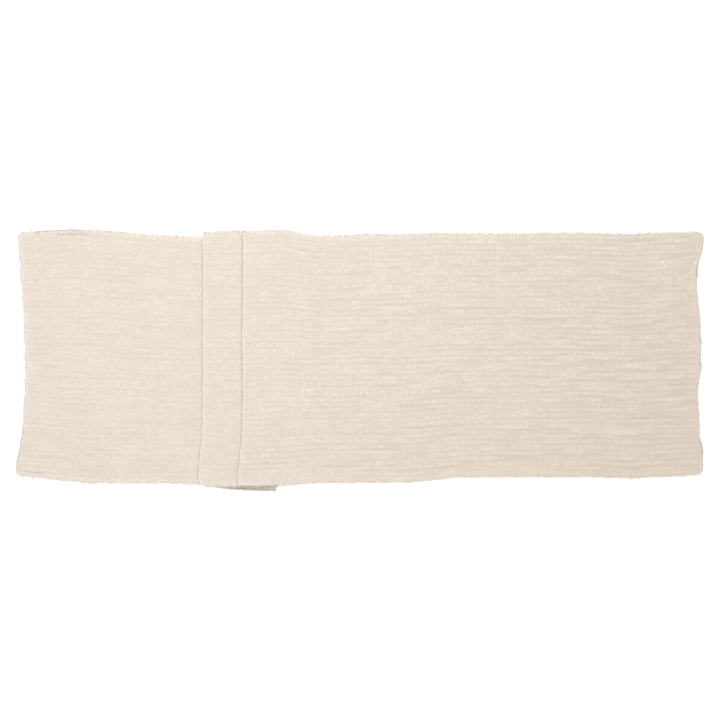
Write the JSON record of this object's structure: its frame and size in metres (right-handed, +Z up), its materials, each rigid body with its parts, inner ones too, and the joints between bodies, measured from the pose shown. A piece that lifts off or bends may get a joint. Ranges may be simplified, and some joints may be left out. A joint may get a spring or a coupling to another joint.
{
  "type": "table runner",
  "caption": "Long crinkled double-gauze cotton cloth with short frayed edges, lying flat with an accordion pleat near one end.",
  "frame": {"origin": "on the table, under the middle of the runner as it lies folded", "axes": "+X along the runner towards its plain long part, +Y across it to the back edge, +Z up"},
  "size_m": [0.8998, 0.3419, 0.0052],
  "materials": {
    "gauze": "matt, crinkled cotton double gauze, undyed cream",
    "yarn_ends": "matt, loose cotton yarn ends, a little lighter than the cloth"
  },
  "bodies": {
    "left_panel": {"left_panel_cloth": "gauze", "left_panel_back_fringe": "yarn_ends", "left_panel_front_fringe": "yarn_ends", "first_fold": "gauze"},
    "left_end": {"left_end_cloth": "gauze", "left_end_back_fringe": "yarn_ends", "left_end_front_fringe": "yarn_ends", "left_short_fringe": "yarn_ends"},
    "back_run": {"back_run_cloth": "gauze", "back_run_back_fringe": "yarn_ends", "back_run_front_fringe": "yarn_ends", "second_fold": "gauze"},
    "strip_run": {"strip_run_cloth": "gauze", "strip_run_back_fringe": "yarn_ends", "strip_run_front_fringe": "yarn_ends", "third_fold": "gauze"},
    "return_run": {"return_run_cloth": "gauze", "return_run_back_fringe": "yarn_ends", "return_run_front_fringe": "yarn_ends", "fourth_fold": "gauze"},
    "stack_top": {"stack_top_cloth": "gauze", "stack_top_back_fringe": "yarn_ends", "stack_top_front_fringe": "yarn_ends"},
    "slope": {"slope_cloth": "gauze", "slope_back_fringe": "yarn_ends", "slope_front_fringe": "yarn_ends"},
    "right_panel": {"right_panel_cloth": "gauze", "right_panel_back_fringe": "yarn_ends", "right_panel_front_fringe": "yarn_ends"},
    "right_end": {"right_end_cloth": "gauze", "right_end_back_fringe": "yarn_ends", "right_end_front_fringe": "yarn_ends", "right_short_fringe": "yarn_ends"}
  },
  "joints": [
    {"name": "left_end_hang", "type": "hinge", "parent": "left_panel", "child": "left_end", "pos_m": [-0.2999, 0, 0], "axis": [0, -1, 0], "range_deg": [0, 90]},
    {"name": "first_fold_open", "type": "hinge", "parent": "left_panel", "child": "back_run", "pos_m": [-0.1119, 0, 0.00095], "axis": [0, 1, 0], "range_deg": [0, 180], "deforming": ["first_fold"]},
    {"name": "second_fold_open", "type": "hinge", "parent": "back_run", "child": "strip_run", "pos_m": [-0.2099, 0, 0.00205], "axis": [0, -1, 0], "range_deg": [0, 180], "deforming": ["second_fold"]},
    {"name": "third_fold_open", "type": "hinge", "parent": "strip_run", "child": "return_run", "pos_m": [-0.0949, 0, 0.00315], "axis": [0, 1, 0], "range_deg": [0, 180], "deforming": ["third_fold"]},
    {"name": "fourth_fold_open", "type": "hinge", "parent": "return_run", "child": "stack_top", "pos_m": [-0.1569, 0, 0.00425], "axis": [0, -1, 0], "range_deg": [0, 180], "deforming": ["fourth_fold"]},
    {"name": "slope_top_flatten", "type": "hinge", "parent": "stack_top", "child": "slope", "pos_m": [-0.0929, 0, 0.0044], "axis": [0, -1, 0], "range_deg": [0, 5.03]},
    {"name": "slope_foot_flatten", "type": "hinge", "parent": "slope", "child": "right_panel", "pos_m": [-0.0429, 0, 0], "axis": [0, 1, 0], "range_deg": [0, 5.03]},
    {"name": "right_end_hang", "type": "hinge", "parent": "right_panel", "child": "right_end", "pos_m": [0.2999, 0, 0], "axis": [0, 1, 0], "range_deg": [0, 90]}
  ],
  "couplings": [
    {"joint": "second_fold_open", "follows": "first_fold_open", "ratio": 1},
    {"joint": "third_fold_open", "follows": "first_fold_open", "ratio": 1},
    {"joint": "fourth_fold_open", "follows": "first_fold_open", "ratio": 1},
    {"joint": "slope_top_flatten", "follows": "first_fold_open", "ratio": 0.027939},
    {"joint": "slope_foot_flatten", "follows": "first_fold_open", "ratio": 0.027939}
  ]
}
